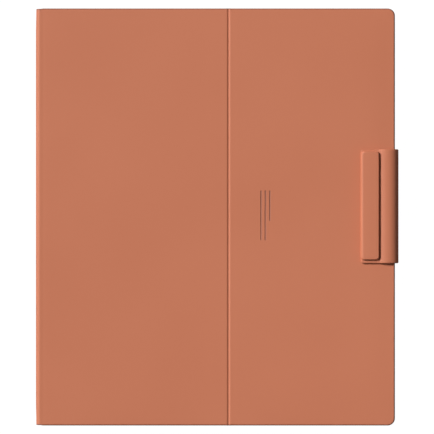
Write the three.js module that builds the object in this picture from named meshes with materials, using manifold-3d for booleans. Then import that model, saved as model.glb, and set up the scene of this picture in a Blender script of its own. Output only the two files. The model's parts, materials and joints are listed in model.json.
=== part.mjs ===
// A 10.3 inch e-reader shut inside a folding folio with a magnetic clasp strap.
// Millimetres. The closed folio lies on its back: +X is the free edge, +Y the top, +Z the front cover.
import * as THREE from "three";
import Module from "manifold-3d";

// ---- folio, overall
const SPINE_X = -99.65; // outer face of the spine
const FREE_X = 97.55; // free edge of both covers
const STRAP_X = 99.65; // outer face of the clasp strap
const COVER_HALF_Y = 114.5;
const COVER_CORNER = 4; // corner radius at the free edge
const INNER_CORNER = 0.8; // corner radius at the spine and at the crease
const SPINE_END_SETBACK = 0.25; // the spine is this much shorter at each end

// ---- folio, layers of one panel
const SKIN = 0.5;
const BOARD = 0.9;
const LINING = 0.4;
const LAYER_GAP = 0.05;
const PANEL = SKIN + BOARD + LINING + 2 * LAYER_GAP;
const RIM = 0.6; // thickness of the turned edge of a skin
const EDGE_BEVEL = 0.5;

// ---- folio, levels
const READER_Z = 2.0;
const READER_THICK = 5.8;
const FRONT_Z = 7.9; // lining of the front cover
const FRONT_TOP = FRONT_Z + PANEL;

// ---- spine folds
const FOLD_RADIUS = 2.3;
const FOLD_THICK = 0.9;
const FOLD_CENTRE_X = SPINE_X + FOLD_RADIUS;
const GROOVE_DEPTH = 0.1;
const GROOVE_END_X = -96.1;
const BACK_START_X = FOLD_CENTRE_X + 0.05;
const FRONT_START_X = -96.0;

// ---- crease of the front cover
const CREASE_X = 6.2;
const CREASE_HALF = 1.1;
const CREASE_LOW = 8.75;
const CREASE_HIGH = 9.4;

// ---- clasp
const STRAP_THICK = 1.5;
const STRAP_BOTTOM_Y = -25.4;
const STRAP_TOP_Y = 37.2;
const STRAP_FOLD_OUTER = 2.05;
const EDGE_STRAP_LOW = 2.1;
const EDGE_STRAP_HIGH = 6.5;
const FLAP_LOW = 9.9;
const FLAP_START_X = 78.7;
const FLAP_FLAT_END_X = 88.8;
const BAR = { x0: 78.5, x1: 88.7, y0: -23.4, y1: 36, z0: 11.45, z1: 13.3 };
const BAR_WALL = 0.7;

// ---- reader
const READER = { x0: -97.4, x1: 95.6, y0: -113, y1: 113 };
const READER_CORNER = 9;
const SHELL_FLOOR = 0.9;
const SHELL_WALL = 1.3;
const SHELL_TOP = READER_Z + READER_THICK;
const LIP = 0.9; // width of the shell's lip round the glass
const GLASS_LOW = 7.15;
const SCREEN = { x0: -74.6, x1: 82.6, y0: -104.8, y1: 104.8 }; // the wide bezel is by the spine
const FRAME_LOW = 5.15;
const FRAME_HIGH = 5.65;
const FIT = 0.1;

const wasm = await Module();
wasm.setup();

const device = new THREE.Group();
const { PI } = Math;

// ---- materials
function material(color, roughness, metalness = 0) {
  return new THREE.MeshStandardMaterial({ color, roughness, metalness });
}
const LEATHER = material(0xc1785e, 0.6);
const LEATHER_FOLD = material(0xb56a50, 0.6);
const FIBREBOARD = material(0x8a8378, 0.9);
const MICROFIBRE = material(0x6f6a66, 1.0);
const MAGNET = material(0xb9bcc0, 0.3, 0.9);
const STEEL = material(0x9a9da2, 0.4, 0.9);
const SHELL = material(0x3a3f45, 0.5, 0.4);
const GLASS = material(0xe8e8e2, 0.2);
const GUIDE = material(0xdfe9ee, 0.15);
const EPAPER = material(0xd9d9d2, 0.8);
const BOARD_GREEN = material(0x1f5a3a, 0.6);
const COPPER = material(0xb87333, 0.5, 0.6);
const BLACK = material(0x1d1d1f, 0.6);
const FOIL = material(0xc8c8c4, 0.45, 0.5);

// ---- shapes
function roundedRect({ x0, x1, y0, y1 }, radii, segments = 6) {
  const [bottomLeft, bottomRight, topRight, topLeft] = Array.isArray(radii) ? radii : Array(4).fill(radii);
  const shape = new THREE.Shape();
  const corners = [
    [x0 + bottomLeft, y0 + bottomLeft, bottomLeft, PI],
    [x1 - bottomRight, y0 + bottomRight, bottomRight, 1.5 * PI],
    [x1 - topRight, y1 - topRight, topRight, 0],
    [x0 + topLeft, y1 - topLeft, topLeft, 0.5 * PI],
  ];
  const points = [];
  for (const [cx, cy, radius, start] of corners) {
    for (let i = 0; i <= segments; i++) {
      const angle = start + (0.5 * PI * i) / segments;
      points.push(new THREE.Vector2(cx + radius * Math.cos(angle), cy + radius * Math.sin(angle)));
    }
  }
  shape.setFromPoints(points);
  return shape;
}

function slab(box, radii, z0, z1, segments = 6) {
  const solid = new THREE.ExtrudeGeometry(roundedRect(box, radii, segments), {
    depth: z1 - z0,
    bevelEnabled: false,
  });
  return solid.translate(0, 0, z0);
}

function block(box, z0, z1) {
  const size = [box.x1 - box.x0, box.y1 - box.y0, z1 - z0];
  const solid = new THREE.BoxGeometry(...size);
  return solid.translate((box.x0 + box.x1) / 2, (box.y0 + box.y1) / 2, (z0 + z1) / 2);
}

function shrink(box, by) {
  return { x0: box.x0 + by, x1: box.x1 - by, y0: box.y0 + by, y1: box.y1 - by };
}

function around(cx, cy, width, height) {
  return { x0: cx - width / 2, x1: cx + width / 2, y0: cy - height / 2, y1: cy + height / 2 };
}

// An outline in X and Z, pushed along Y.
function extrudeXZ(points, y0, y1) {
  const shape = new THREE.Shape(points.map(([x, z]) => new THREE.Vector2(x, z)));
  const solid = new THREE.ExtrudeGeometry(shape, { depth: y1 - y0, bevelEnabled: false });
  solid.rotateX(PI / 2);
  return solid.translate(0, y1, 0);
}

function cylinder(cx, cy, z0, z1, radius, segments = 16) {
  const solid = new THREE.CylinderGeometry(radius, radius, z1 - z0, segments);
  solid.rotateX(PI / 2);
  return solid.translate(cx, cy, (z0 + z1) / 2);
}

function cylinderAlongY(cx, cz, y0, y1, radius, segments = 12) {
  const solid = new THREE.CylinderGeometry(radius, radius, y1 - y0, segments);
  return solid.translate(cx, (y0 + y1) / 2, cz);
}

// ---- booleans
function toManifold(geometry) {
  const bare = new THREE.BufferGeometry();
  const source = geometry.index ? geometry.toNonIndexed() : geometry;
  const positions = source.getAttribute("position");
  bare.setAttribute("position", positions);
  const keys = new Map();
  const vertices = [];
  const triangles = [];
  for (let i = 0; i < positions.count; i++) {
    const point = [positions.getX(i), positions.getY(i), positions.getZ(i)];
    const key = point.map((v) => Math.round(v * 1e4)).join(",");
    if (!keys.has(key)) {
      keys.set(key, keys.size);
      vertices.push(...point);
    }
    triangles.push(keys.get(key));
  }
  return new wasm.Manifold(
    new wasm.Mesh({
      numProp: 3,
      vertProperties: new Float32Array(vertices),
      triVerts: new Uint32Array(triangles),
    }),
  );
}

function fromManifold(solid) {
  const mesh = solid.getMesh();
  const geometry = new THREE.BufferGeometry();
  geometry.setAttribute("position", new THREE.BufferAttribute(mesh.vertProperties, 3));
  geometry.setIndex(new THREE.BufferAttribute(mesh.triVerts, 1));
  const flat = geometry.toNonIndexed();
  flat.computeVertexNormals();
  return flat;
}

function cut(body, ...tools) {
  let solid = toManifold(body);
  for (const tool of tools) solid = solid.subtract(toManifold(tool));
  return fromManifold(solid);
}

function join(...parts) {
  let solid = toManifold(parts[0]);
  for (const part of parts.slice(1)) solid = solid.add(toManifold(part));
  return fromManifold(solid);
}

function add(name, geometry, look) {
  const mesh = new THREE.Mesh(geometry, look);
  mesh.name = name;
  device.add(mesh);
}

// ---- folio panels
// A skin is a shallow tray: a sheet with its edges turned round the board, bevelled on its outer face.
function skinTray(box, radii, outerZ, innerZ) {
  const up = Math.sign(innerZ - outerZ);
  const low = Math.min(outerZ, innerZ);
  const high = Math.max(outerZ, innerZ);
  const inner = radii.map((r) => Math.max(r - RIM, 0.2));
  const floorZ = outerZ + up * SKIN;
  const pocketEnd = innerZ + up;
  const pocket = slab(shrink(box, RIM), inner, Math.min(floorZ, pocketEnd), Math.max(floorZ, pocketEnd));
  const body = up > 0 ? bevelledSlab(box, radii, low, high, -1) : bevelledSlab(box, radii, low, high, 1);
  return cut(body, pocket);
}

// A slab whose lower (side -1) or upper (side 1) edges are bevelled.
function bevelledSlab(box, radii, z0, z1, side) {
  const outer = roundedRect(box, radii).getPoints();
  const small = radii.map((r) => Math.max(r - EDGE_BEVEL, 0.3));
  const inner = roundedRect(shrink(box, EDGE_BEVEL), small).getPoints();
  const rings =
    side < 0
      ? [[inner, z0], [outer, z0 + EDGE_BEVEL], [outer, z1]]
      : [[outer, z0], [outer, z1 - EDGE_BEVEL], [inner, z1]];
  return loft(rings);
}

// Rings of the same number of points, each at its own level, closed at both ends.
function loft(rings) {
  const count = rings[0][0].length;
  const positions = [];
  const corner = (ring, i) => {
    const [points, z] = rings[ring];
    const point = points[i % count];
    return [point.x, point.y, z];
  };
  for (let r = 0; r + 1 < rings.length; r++) {
    for (let i = 0; i < count; i++) {
      positions.push(...corner(r, i), ...corner(r, i + 1), ...corner(r + 1, i + 1));
      positions.push(...corner(r, i), ...corner(r + 1, i + 1), ...corner(r + 1, i));
    }
  }
  const last = rings.length - 1;
  for (const [a, b, c] of THREE.ShapeUtils.triangulateShape(rings[0][0], [])) {
    positions.push(...corner(0, c), ...corner(0, b), ...corner(0, a));
    positions.push(...corner(last, a), ...corner(last, b), ...corner(last, c));
  }
  const geometry = new THREE.BufferGeometry();
  geometry.setAttribute("position", new THREE.Float32BufferAttribute(positions, 3));
  return geometry;
}

// Skin, board and lining of one panel; the board gets a hole for each insert.
function panel(name, box, radii, outerZ, innerZ, inserts) {
  const up = Math.sign(innerZ - outerZ);
  const inner = radii.map((r) => Math.max(r - RIM - LAYER_GAP, 0.2));
  const inside = shrink(box, RIM + LAYER_GAP);
  const level = (depth) => outerZ + up * depth;
  const layer = (from, to) => {
    const levels = [level(from), level(to)];
    return slab(inside, inner, Math.min(...levels), Math.max(...levels));
  };
  const boardFrom = SKIN + LAYER_GAP;
  const boardTo = boardFrom + BOARD;
  const holes = inserts.map((insert) => {
    return block(shrink(insert, -LAYER_GAP), level(boardFrom) - 2, level(boardTo) + 2);
  });
  add(`${name}_skin`, skinTray(box, radii, outerZ, innerZ), LEATHER);
  add(`${name}_board`, cut(layer(boardFrom, boardTo), ...holes), FIBREBOARD);
  add(`${name}_lining`, layer(boardTo + LAYER_GAP, PANEL), MICROFIBRE);
}

function insertSolid(insert, outerZ, up) {
  const a = outerZ + up * (SKIN + LAYER_GAP + 0.02);
  const b = outerZ + up * (SKIN + LAYER_GAP + BOARD - 0.02);
  return block(insert, Math.min(a, b), Math.max(a, b));
}

const BACK_MAGNETS = [
  around(-62, 78, 44, 9),
  around(-62, -78, 44, 9),
  around(60, 78, 44, 9),
  around(60, -78, 44, 9),
];
const KEEPER = around((BAR.x0 + BAR.x1) / 2, (BAR.y0 + BAR.y1) / 2, 12, 56);
const SLEEP_MAGNET = around(86, -88, 8, 16);

function folioBack() {
  const box = { x0: BACK_START_X, x1: FREE_X, y0: -COVER_HALF_Y, y1: COVER_HALF_Y };
  const radii = [INNER_CORNER, COVER_CORNER, COVER_CORNER, INNER_CORNER];
  panel("back", box, radii, 0, PANEL, BACK_MAGNETS);
  BACK_MAGNETS.forEach((magnet, i) => add(`back_magnet_${i + 1}`, insertSolid(magnet, 0, 1), MAGNET));
}

function frontInner() {
  const box = { x0: FRONT_START_X, x1: CREASE_X - CREASE_HALF, y0: -COVER_HALF_Y, y1: COVER_HALF_Y };
  panel("front_inner", box, Array(4).fill(INNER_CORNER), FRONT_TOP, FRONT_Z, []);
}

function frontOuter() {
  const box = { x0: CREASE_X + CREASE_HALF, x1: FREE_X, y0: -COVER_HALF_Y, y1: COVER_HALF_Y };
  const radii = [INNER_CORNER, COVER_CORNER, COVER_CORNER, INNER_CORNER];
  panel("front_outer", box, radii, FRONT_TOP, FRONT_Z, [KEEPER, SLEEP_MAGNET]);
  add("clasp_keeper", insertSolid(KEEPER, FRONT_TOP, -1), STEEL);
  add("sleep_magnet", insertSolid(SLEEP_MAGNET, FRONT_TOP, -1), MAGNET);
}

function creaseStrip() {
  const half = CREASE_HALF - LAYER_GAP;
  const reach = COVER_HALF_Y - 0.3;
  const box = { x0: CREASE_X - half, x1: CREASE_X + half, y0: -reach, y1: reach };
  add("crease_strip", block(box, CREASE_LOW, CREASE_HIGH), LEATHER_FOLD);
}

// ---- spine
function arc(cx, cz, radius, from, to, steps) {
  const points = [];
  for (let i = 0; i <= steps; i++) {
    const angle = from + ((to - from) * i) / steps;
    points.push([cx + radius * Math.cos(angle), cz + radius * Math.sin(angle)]);
  }
  return points;
}

function spine() {
  const reach = COVER_HALF_Y - SPINE_END_SETBACK;
  const low = FOLD_RADIUS + LAYER_GAP;
  const high = FRONT_TOP - FOLD_RADIUS - LAYER_GAP;
  const insideReach = reach - RIM - LAYER_GAP;
  const layer = (from, to, halfY) => {
    const left = SPINE_X + from;
    const right = SPINE_X + to;
    return extrudeXZ([[left, low], [right, low], [right, high], [left, high]], -halfY, halfY);
  };
  const boardFrom = SKIN + LAYER_GAP;
  const boardTo = boardFrom + BOARD;
  add("spine_skin", layer(0, SKIN, reach), LEATHER);
  add("spine_board", layer(boardFrom, boardTo, insideReach), FIBREBOARD);
  add("spine_lining", layer(boardTo + LAYER_GAP, PANEL, insideReach), MICROFIBRE);
}

function spineFolds() {
  const reach = COVER_HALF_Y - SPINE_END_SETBACK;
  const inner = FOLD_RADIUS - FOLD_THICK;
  const rear = [
    ...arc(FOLD_CENTRE_X, FOLD_RADIUS, FOLD_RADIUS, PI, 1.5 * PI, 8),
    ...arc(FOLD_CENTRE_X, FOLD_RADIUS, inner, 1.5 * PI, PI, 8),
  ];
  const centreZ = FRONT_TOP - FOLD_RADIUS;
  const floor = FRONT_TOP - GROOVE_DEPTH;
  const front = [
    ...arc(FOLD_CENTRE_X, centreZ, FOLD_RADIUS, PI, 0.5 * PI, 8),
    [FOLD_CENTRE_X + 0.4, floor],
    [GROOVE_END_X, floor],
    [GROOVE_END_X, floor - 0.5],
    [FOLD_CENTRE_X + 0.3, floor - 0.5],
    ...arc(FOLD_CENTRE_X, centreZ, inner, 0.5 * PI, PI, 8),
  ];
  add("rear_fold_strip", extrudeXZ(rear, -reach, reach), LEATHER_FOLD);
  add("front_fold_strip", extrudeXZ(front.reverse(), -reach, reach), LEATHER_FOLD);
}

// ---- clasp
// The strap's centre line over the free edge: a rise from the flap, then a fall round to the side.
const STRAP_MIDDLE_X = STRAP_X - STRAP_THICK / 2;
const STRAP_CURVE = new THREE.CurvePath();
STRAP_CURVE.add(
  new THREE.CubicBezierCurve(
    new THREE.Vector2(FLAP_FLAT_END_X, FLAP_LOW + STRAP_THICK / 2),
    new THREE.Vector2(89.8, 10.9),
    new THREE.Vector2(90.9, 11.75),
    new THREE.Vector2(93.2, 11.75),
  ),
);
STRAP_CURVE.add(
  new THREE.CubicBezierCurve(
    new THREE.Vector2(93.2, 11.75),
    new THREE.Vector2(96.6, 11.75),
    new THREE.Vector2(STRAP_MIDDLE_X, 11.1),
    new THREE.Vector2(STRAP_MIDDLE_X, EDGE_STRAP_HIGH),
  ),
);
const FLAP_SHARE = 0.34; // share of the curve that belongs to the stiff flap

// Points at an offset from the strap's centre line, between two shares of the curve.
function strapOffset(offset, from, to, steps) {
  const points = [];
  for (let i = 0; i <= steps; i++) {
    const share = from + ((to - from) * i) / steps;
    const centre = STRAP_CURVE.getPoint(share);
    const along = STRAP_CURVE.getTangent(share);
    points.push([centre.x - along.y * offset, centre.y + along.x * offset]);
  }
  return points;
}

function claspStraps() {
  const half = STRAP_THICK / 2;
  const lower = [
    ...arc(FREE_X + LAYER_GAP, STRAP_FOLD_OUTER, STRAP_FOLD_OUTER, 1.5 * PI, 2 * PI, 8),
    ...arc(FREE_X + LAYER_GAP, STRAP_FOLD_OUTER, STRAP_FOLD_OUTER - STRAP_THICK, 2 * PI, 1.5 * PI, 8),
  ];
  const side = { x0: STRAP_X - STRAP_THICK, x1: STRAP_X, y0: STRAP_BOTTOM_Y, y1: STRAP_TOP_Y };
  const gap = 0.008;
  const upper = [
    ...strapOffset(-half, FLAP_SHARE + gap, 1, 14),
    ...strapOffset(half, FLAP_SHARE + gap, 1, 14).reverse(),
  ];
  const flap = [
    [FLAP_START_X, FLAP_LOW],
    ...strapOffset(-half, 0, FLAP_SHARE, 6),
    ...strapOffset(half, 0, FLAP_SHARE, 6).reverse(),
    [FLAP_START_X, FLAP_LOW + STRAP_THICK],
  ];
  add("clasp_rear_fold", extrudeXZ(lower, STRAP_BOTTOM_Y, STRAP_TOP_Y), LEATHER_FOLD);
  add("clasp_side_strap", block(side, EDGE_STRAP_LOW, EDGE_STRAP_HIGH - LAYER_GAP), LEATHER);
  add("clasp_front_fold", extrudeXZ(upper, STRAP_BOTTOM_Y, STRAP_TOP_Y), LEATHER_FOLD);
  add("clasp_flap_strap", extrudeXZ(flap, STRAP_BOTTOM_Y, STRAP_TOP_Y), LEATHER);
}

function claspBar() {
  const radii = Array(4).fill(1.2);
  const body = bevelledSlab(BAR, radii, BAR.z0, BAR.z1, 1);
  const pocket = slab(shrink(BAR, BAR_WALL), 0.5, BAR.z0 - 1, BAR.z1 - BAR_WALL, 2);
  add("clasp_bar_cover", cut(body, pocket), LEATHER);
  const count = 3;
  const length = (BAR.y1 - BAR.y0 - 2 * BAR_WALL) / count;
  for (let i = 0; i < count; i++) {
    const cy = BAR.y0 + BAR_WALL + length * (i + 0.5);
    const box = around((BAR.x0 + BAR.x1) / 2, cy, BAR.x1 - BAR.x0 - 2 * BAR_WALL - 0.4, length - 0.6);
    add(`clasp_magnet_${i + 1}`, block(box, BAR.z0 + 0.02, BAR.z1 - BAR_WALL - 0.05), MAGNET);
  }
}

// ---- reader
const BUTTON = { x0: -74, x1: -60, z0: 3.3, z1: 5.0 };
const CARD = { x0: 40, x1: 52.4, z0: 3.8, z1: 5.0 };
const USB = { x0: -91.2, x1: -82.3, y0: -112.2, y1: -104.3, z0: 3.2, z1: 6.4 };
const SPEAKERS = [-62, 72];
const MIC_X = 20;
const SCREW_SPOTS = [
  [-88, 98],
  [90, 98],
  [-88, -98],
  [90, -98],
  [-88, 0],
  [90, 0],
];
const READER_MAGNETS = [around(-62, 78, 40, 8), around(60, 78, 40, 8)];

function slotY(x0, x1, z0, z1, y0, y1) {
  return block({ x0, x1, y0, y1 }, z0, z1);
}

function speakerHoles(cx) {
  const holes = [];
  for (let i = -3; i <= 3; i++) {
    holes.push(cylinderAlongY(cx + i * 2, 4.5, READER.y0 - 1, READER.y0 + SHELL_WALL + 1, 0.5, 8));
  }
  return holes;
}

function rearShell() {
  const outer = Array(4).fill(READER_CORNER);
  const inner = READER_CORNER - SHELL_WALL;
  const body = bevelledSlab(READER, outer, READER_Z, SHELL_TOP, -1);
  const pocket = slab(shrink(READER, SHELL_WALL), inner, READER_Z + SHELL_FLOOR, SHELL_TOP + 1);
  const seat = slab(shrink(READER, LIP), READER_CORNER - LIP, GLASS_LOW - FIT, SHELL_TOP + 1);
  const bottomIn = READER.y0 + SHELL_WALL + 1;
  const topIn = READER.y1 - SHELL_WALL - 1;
  const shell = cut(
    body,
    pocket,
    seat,
    usbOval(USB, -FIT, READER.y0 - 1, bottomIn + 1.5),
    slotY(CARD.x0 - FIT, CARD.x1 + FIT, CARD.z0 - FIT, CARD.z1 + FIT, READER.y0 - 1, bottomIn),
    slotY(BUTTON.x0 - FIT, BUTTON.x1 + FIT, BUTTON.z0 - FIT, BUTTON.z1 + FIT, topIn, READER.y1 + 1),
    cylinderAlongY(MIC_X, 4.5, READER.y0 - 1, bottomIn, 0.5, 8),
    ...SPEAKERS.flatMap(speakerHoles),
  );
  add("rear_shell", shell, SHELL);
}

function midFrame() {
  const box = shrink(READER, SHELL_WALL + FIT);
  const radius = READER_CORNER - SHELL_WALL - FIT;
  const holes = SCREW_SPOTS.map(([x, y]) => cylinder(x, y, FRAME_LOW - 1, FRAME_HIGH + 1, 0.9, 12));
  const ribbonSlot = block({ x0: 86.4, x1: 89.6, y0: -46, y1: -14 }, FRAME_LOW - 1, FRAME_HIGH + 1);
  const port = { x0: USB.x0 - 0.2, x1: USB.x1 + 0.1, y0: READER.y0, y1: USB.y1 + 0.2 };
  const portNotch = block(port, FRAME_LOW - 1, FRAME_HIGH + 1);
  const plate = cut(slab(box, radius, FRAME_LOW, FRAME_HIGH), ...holes, ribbonSlot, portNotch);
  add("mid_frame", plate, STEEL);
}

function frameScrews() {
  SCREW_SPOTS.forEach(([x, y], i) => {
    const shank = cylinder(x, y, READER_Z + SHELL_FLOOR + 0.02, FRAME_HIGH + 0.05, 0.8, 12);
    const head = cylinder(x, y, FRAME_HIGH + 0.02, FRAME_HIGH + 0.35, 1.5, 16);
    const drive = block(around(x, y, 1.6, 0.35), FRAME_HIGH + 0.15, FRAME_HIGH + 1);
    const turned = block(around(x, y, 0.35, 1.6), FRAME_HIGH + 0.15, FRAME_HIGH + 1);
    add(`frame_screw_${i + 1}`, cut(join(shank, head), drive, turned), STEEL);
  });
}

function displayStack() {
  const glassBox = shrink(READER, LIP + FIT);
  add("cover_glass", slab(glassBox, READER_CORNER - LIP - FIT, GLASS_LOW, SHELL_TOP - 0.05, 8), GLASS);
  const stack = { x0: SCREEN.x0 - 3, x1: SCREEN.x1 + 3, y0: SCREEN.y0 - 3, y1: SCREEN.y1 + 3 };
  add("digitizer_board", block(shrink(stack, -0.5), 5.7, 6.0), BOARD_GREEN);
  add("epaper_panel", block(stack, 6.05, 6.7), EPAPER);
  add("light_guide", block(shrink(stack, 0.5), 6.75, 7.1), GUIDE);
  const strip = { x0: SCREEN.x0, x1: SCREEN.x1, y0: stack.y0 - 2.4, y1: stack.y0 - 0.6 };
  add("light_strip", block(strip, 6.5, 7.05), COPPER);
}

// The ribbon drops from the panel's edge, through the frame, to the main board.
function displayRibbon() {
  const ribbon = [
    [85.7, 6.2],
    [88.4, 6.2],
    [88.4, 3.95],
    [80.5, 3.95],
    [80.5, 3.8],
    [88.6, 3.8],
    [88.6, 6.4],
    [85.7, 6.4],
  ];
  add("display_ribbon", extrudeXZ(ribbon, -44, -16), COPPER);
}

const MAIN_BOARD = { x0: -92, x1: 83, y0: -104, y1: -66 };

function electronics() {
  const tail = block({ x0: 66, x1: 83, y0: -66.5, y1: -12 }, 3.0, 3.7);
  const holes = SCREW_SPOTS.map(([x, y]) => cylinder(x, y, 2, 5, 1.0, 12));
  const board = join(block(MAIN_BOARD, 3.0, 3.7), tail);
  add("main_board", cut(board, ...holes), BOARD_GREEN);
  add("soc_shield", block(around(-35, -84, 34, 24), 3.75, 5.0), FOIL);
  add("power_shield", block(around(12, -84, 24, 20), 3.75, 4.9), FOIL);
  add("antenna", block({ x0: -95, x1: -92.5, y0: -60, y1: -20 }, 3.0, 4.8), COPPER);
  add("microphone", block(around(MIC_X, -109.3, 3.4, 2.6), 3.7, 4.9), FOIL);
}

// The round-ended outline of the socket, pushed along Y.
function usbOval(port, inset, y0, y1) {
  const radius = (port.z1 - port.z0) / 2 - inset;
  const middle = (port.z0 + port.z1) / 2;
  const left = port.x0 + inset + radius;
  const right = port.x1 - inset - radius;
  const outline = [
    ...arc(right, middle, radius, -0.5 * PI, 0.5 * PI, 8),
    ...arc(left, middle, radius, 0.5 * PI, 1.5 * PI, 8),
  ];
  return extrudeXZ(outline, y0, y1);
}

function usbPort() {
  const body = usbOval(USB, 0, USB.y0, USB.y1);
  const mouth = usbOval(USB, 0.3, USB.y0 - 1, USB.y1 - 1);
  const middle = (USB.z0 + USB.z1) / 2;
  const tongueBox = { x0: USB.x0 + 1.4, x1: USB.x1 - 1.4, y0: USB.y0 + 0.6, y1: USB.y1 - 0.8 };
  const tongue = block(tongueBox, middle - 0.35, middle + 0.35);
  add("usb_port", join(cut(body, mouth), tongue), STEEL);
}

function batteries() {
  [-46, 34].forEach((cx, i) => {
    add(`battery_cell_${i + 1}`, slab(around(cx, 8, 62, 118), 1.5, 2.95, 5.05, 3), FOIL);
  });
}

function speakers() {
  SPEAKERS.forEach((cx, i) => {
    const body = slab(around(cx, -108.4, 20, 5.6), 1, 2.95, 5.05, 3);
    add(`speaker_${i + 1}`, body, BLACK);
  });
}

function powerButton() {
  const face = slotY(BUTTON.x0, BUTTON.x1, BUTTON.z0, BUTTON.z1, READER.y1 - 1.9, READER.y1 + 0.4);
  const flangeEnd = READER.y1 - SHELL_WALL - 0.05;
  const flange = slotY(BUTTON.x0 - 1, BUTTON.x1 + 1, 3.5, 5.1, READER.y1 - 2.1, flangeEnd);
  add("power_button", join(face, flange), SHELL);
  const body = slotY(-69, -65, 3.4, 5.0, READER.y1 - 5.6, READER.y1 - 3.2);
  const plunger = slotY(-67.8, -66.2, 3.9, 4.5, READER.y1 - 3.3, READER.y1 - 2.55);
  add("power_switch", join(body, plunger), BLACK);
}

function cardTray() {
  const depth = 15;
  const face = slotY(CARD.x0, CARD.x1, CARD.z0, CARD.z1, READER.y0, READER.y0 + 1);
  const arms = slotY(CARD.x0 + 0.3, CARD.x1 - 0.3, 4.05, 4.75, READER.y0 + 0.9, READER.y0 + depth);
  const window = slotY(CARD.x0 + 1, CARD.x1 - 1.6, 3, 5, READER.y0 + 2.2, READER.y0 + depth - 1.2);
  const eject = cylinderAlongY(CARD.x1 - 1.2, 4.4, READER.y0 - 1, READER.y0 + 0.7, 0.35, 8);
  add("card_tray", cut(join(face, arms), window, eject), SHELL);
  const box = { x0: CARD.x0 - 1.2, x1: CARD.x1 + 1.2, y0: READER.y0 + 2.6, y1: READER.y0 + depth + 1.2 };
  const cage = block(box, 3.75, 5.1);
  const cavity = slotY(CARD.x0 + 0.1, CARD.x1 - 0.1, 3.95, 4.85, READER.y0, READER.y0 + depth + 0.4);
  add("card_socket", cut(cage, cavity), FOIL);
}

function readerMagnets() {
  READER_MAGNETS.forEach((box, i) => add(`reader_magnet_${i + 1}`, block(box, 2.95, 4.4), MAGNET));
}

folioBack();
frontInner();
frontOuter();
creaseStrip();
spine();
spineFolds();
claspStraps();
claspBar();
rearShell();
midFrame();
frameScrews();
displayStack();
displayRibbon();
electronics();
usbPort();
batteries();
speakers();
powerButton();
cardTray();
readerMagnets();

export default device;
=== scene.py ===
# Looks for a closed e-reader folio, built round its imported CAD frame.
# Lengths in the shape code are millimetres in the frame's own axes: +X free edge, +Y top, +Z front cover.
import json
import math

import bmesh
import bpy
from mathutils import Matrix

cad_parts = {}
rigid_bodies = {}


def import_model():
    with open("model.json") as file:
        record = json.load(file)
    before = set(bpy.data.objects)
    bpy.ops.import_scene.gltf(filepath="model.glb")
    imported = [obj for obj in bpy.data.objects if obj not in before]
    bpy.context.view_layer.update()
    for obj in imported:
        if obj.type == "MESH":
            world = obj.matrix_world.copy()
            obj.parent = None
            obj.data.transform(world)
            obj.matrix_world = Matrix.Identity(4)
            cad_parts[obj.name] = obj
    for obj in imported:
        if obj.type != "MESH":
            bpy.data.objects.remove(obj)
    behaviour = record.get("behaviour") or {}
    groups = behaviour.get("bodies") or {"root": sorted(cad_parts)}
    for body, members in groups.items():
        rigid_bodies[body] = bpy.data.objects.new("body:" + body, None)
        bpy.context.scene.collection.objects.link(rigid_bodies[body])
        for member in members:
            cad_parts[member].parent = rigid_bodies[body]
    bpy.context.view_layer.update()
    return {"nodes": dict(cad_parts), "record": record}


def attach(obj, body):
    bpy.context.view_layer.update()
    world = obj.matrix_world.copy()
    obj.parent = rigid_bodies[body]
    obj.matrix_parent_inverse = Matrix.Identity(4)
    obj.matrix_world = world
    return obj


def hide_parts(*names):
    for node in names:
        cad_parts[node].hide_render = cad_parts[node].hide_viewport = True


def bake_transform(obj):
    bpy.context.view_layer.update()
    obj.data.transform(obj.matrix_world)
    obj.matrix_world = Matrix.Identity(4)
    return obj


MM = 0.001
NO_LENGTH = 1e-7
FAR = 1e6
AWAY = 0.0  # a place along a sheet that is nowhere near its end

# ---- folio
SPINE_X = -99.65
FREE_X = 97.55
HALF_Y = 114.5
CORNER = 4.0
SPINE_SETBACK = 0.25
BACK_INSIDE = 1.88
FRONT_INSIDE = 7.92
FRONT_TOP = 9.8
EDGE_RADIUS = 0.85
FOLD_RADIUS = 2.3
FOLD_THICK = 0.9
FOLD_X = SPINE_X + FOLD_RADIUS
SPINE_INSIDE_X = -97.75
SPINE_SEAM_Z = 4.9
SEAM_X = -96.25
HINGE_DIP_X = -95.6
HINGE_DIP_HALF = 1.7
HINGE_DIP_DEPTH = 0.03
CREASE_X = 6.2
CREASE_DEPTH = 0.44
CREASE_HALF = 1.02
CREASE_STEPS = 8
CREASE_CHANNEL = 0.8
CREASE_CHANNEL_HALVES = (0.9, 1.35)
CREASE_MARGIN = 3.5
PANEL_START_X = -93.0
COLUMN_SPACING = 9.0
COLUMNS_BEFORE_END = (13.0, 10.0, 8.0, 6.0)
CROWN = 0.2
CROWN_WIDTH = 14.0
# Width of the band along the cover's outline that is painted darker, as painted shade on the rounded edge.
PAINTED_SHADE_BAND = 0.6
LINING_MARGIN = 2.6
LINING_RISE = 0.06
LINING_SUNK = 0.25

# ---- clasp
STRAP_THICK = 1.5
STRAP_HALF_Y = 31.3
STRAP_CENTRE_Y = 5.9
STRAP_RUN_X = 98.9
STRAP_FOLD = 1.3
STRAP_FOLD_CENTRE_X = 97.6
STRAP_SEAM_Z = 4.2
STRAP_EDGE_RADIUS = 0.55
STRAP_ROWS = 10
FLAP_MID_Z = 10.65
FLAP_START_X = 90.0
FLAP_END_X = 78.8
FLAP_CORNER = 1.2
STRAP_RISE = ((88.8, 10.65), (89.8, 10.9), (90.9, 11.75), (93.2, 11.75))
STRAP_FALL = ((93.2, 11.75), (95.8, 11.75), (98.65, 11.02), (98.9, 6.5))
BAR_X = (78.5, 88.7)
BAR_Y = (-23.4, 36.0)
BAR_Z = (11.4, 13.3)
BAR_CORNER = 1.7
BAR_SLOPE_RADIUS = 1.75
BAR_EDGE_RADIUS = 0.6

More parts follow.
